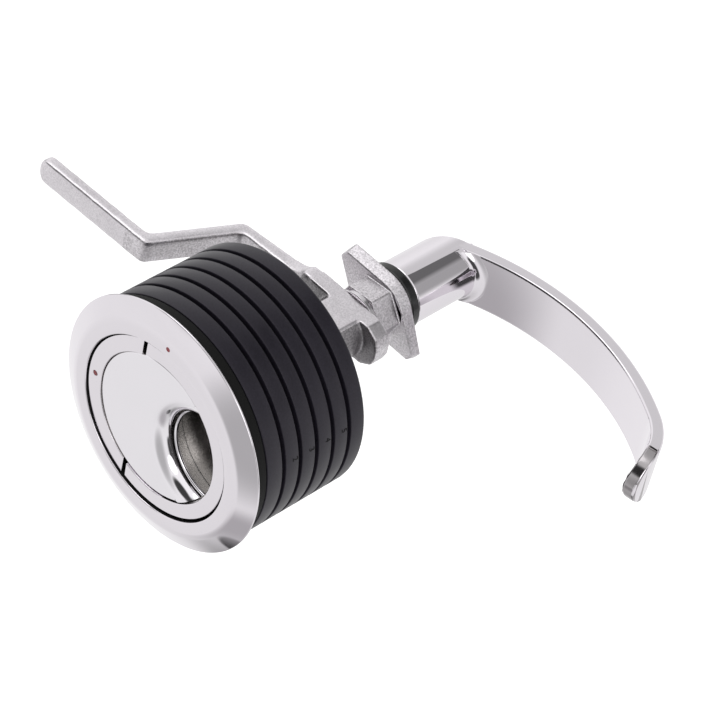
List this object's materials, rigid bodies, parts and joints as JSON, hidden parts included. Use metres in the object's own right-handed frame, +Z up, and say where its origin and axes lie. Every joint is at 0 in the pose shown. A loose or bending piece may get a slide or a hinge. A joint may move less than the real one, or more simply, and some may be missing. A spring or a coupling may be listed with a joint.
{
  "type": "draw latch",
  "caption": "Through-door draw latch: flush round bezel with a lift-up pull ring outside, grooved spacer sleeve, Z-shaped draw arm with wing nut, and a curved lever handle inside",
  "frame": {"origin": "on the spindle axis, in the plane of the flange back that seats on the door by way of the gasket", "axes": "+Y runs along the spindle into the door, from the outside to the inside; -X points along the draw arm in the locked pose; +Z is up, to the bezel dot"},
  "size_m": [0.2238, 0.1485, 0.09],
  "materials": {
    "polished_steel": "mirror polished stainless steel",
    "dished_steel": "polished pressed stainless sheet",
    "cast_steel": "bead-blasted investment cast stainless steel",
    "bright_steel": "turned bright steel",
    "blackened_steel": "blackened steel plate",
    "sleeve_plastic": "moulded black plastic, satin",
    "gasket_rubber": "soft black rubber",
    "buffer_rubber": "dark glossy rubber",
    "bronze": "sintered bronze",
    "dot_enamel": "dark red enamel"
  },
  "bodies": {
    "housing": {"bezel": "polished_steel", "bezel_dot": "dot_enamel", "bezel_gasket": "gasket_rubber", "spacer_sleeve": "sleeve_plastic", "rear_plate": "blackened_steel", "rear_plate_screws": "bright_steel", "front_bush": "bronze", "rear_bush": "bronze"},
    "rotor_group": {"rotor": "polished_steel", "finger_dish": "dished_steel", "rotor_dot": "dot_enamel", "rotor_seal": "gasket_rubber", "pull_ring_pins": "bright_steel", "stop_pin": "bright_steel", "spindle": "bright_steel", "spindle_cross_pin": "bright_steel", "spindle_seal": "gasket_rubber", "thrust_washer": "bronze", "rear_thrust_washer": "bronze", "circlip": "bright_steel", "draw_arm": "cast_steel", "arm_washer": "bright_steel", "wing_nut": "cast_steel", "buffer_ring": "buffer_rubber", "lever_handle": "polished_steel", "handle_grub_screw": "bright_steel"},
    "pull_ring": {"pull_ring": "polished_steel"}
  },
  "joints": [
    {"name": "spindle_turn", "type": "hinge", "parent": "housing", "child": "rotor_group", "pos_m": [0, 0, 0], "axis": [0, 1, 0], "range_deg": [0, 90]},
    {"name": "pull_ring_lift", "type": "hinge", "parent": "rotor_group", "child": "pull_ring", "pos_m": [-0.003, -0.00025, 0], "axis": [0, 0, -1], "range_deg": [0, 80]}
  ]
}
